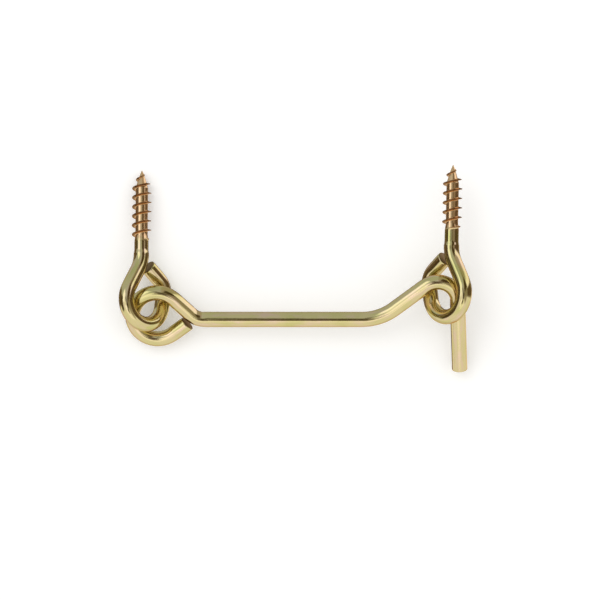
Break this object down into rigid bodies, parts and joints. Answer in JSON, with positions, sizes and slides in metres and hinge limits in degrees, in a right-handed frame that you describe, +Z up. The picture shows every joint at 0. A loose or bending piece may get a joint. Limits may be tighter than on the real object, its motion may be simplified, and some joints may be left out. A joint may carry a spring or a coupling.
{
  "type": "hook and eye latch",
  "caption": "Hook and eye latch of bent steel wire: a long hook, its bill dropped through one wood-screw eye, hangs by a closed loop on another.",
  "frame": {"origin": "centre of the bounding box, on the surface that the latch lies on", "axes": "+X along the hook's rod from the hinge eye to the bill, +Y the way both wood screws point, +Z up from the surface"},
  "size_m": [0.1024, 0.0604, 0.0198],
  "materials": {
    "hinge_eye_zinc": "steel wire, zinc plated and yellow passivated, bright with a green-gold tint and a coppery thread",
    "hook_zinc": "steel wire, zinc plated and yellow passivated, bright straw yellow",
    "catch_eye_zinc": "steel wire, zinc plated and yellow passivated, bright with a green-gold tint and a coppery thread"
  },
  "bodies": {
    "hinge_eye": {"hinge_screw_eye": "hinge_eye_zinc"},
    "hook": {"hook": "hook_zinc"},
    "catch_eye": {"catch_screw_eye": "catch_eye_zinc"}
  },
  "joints": [
    {"name": "hook_swing", "type": "hinge", "parent": "hinge_eye", "child": "hook", "pos_m": [-0.04025, -0.01375, 0.00615], "axis": [-0.0325, -0.3633, 0.9311], "range_deg": [0, 100]},
    {"name": "catch_eye_swing", "type": "hinge", "parent": "hook", "child": "catch_eye", "pos_m": [0.04432, -0.00618, 0.01259], "axis": [0.666, -0.4151, -0.6198], "range_deg": [0, 120]}
  ]
}
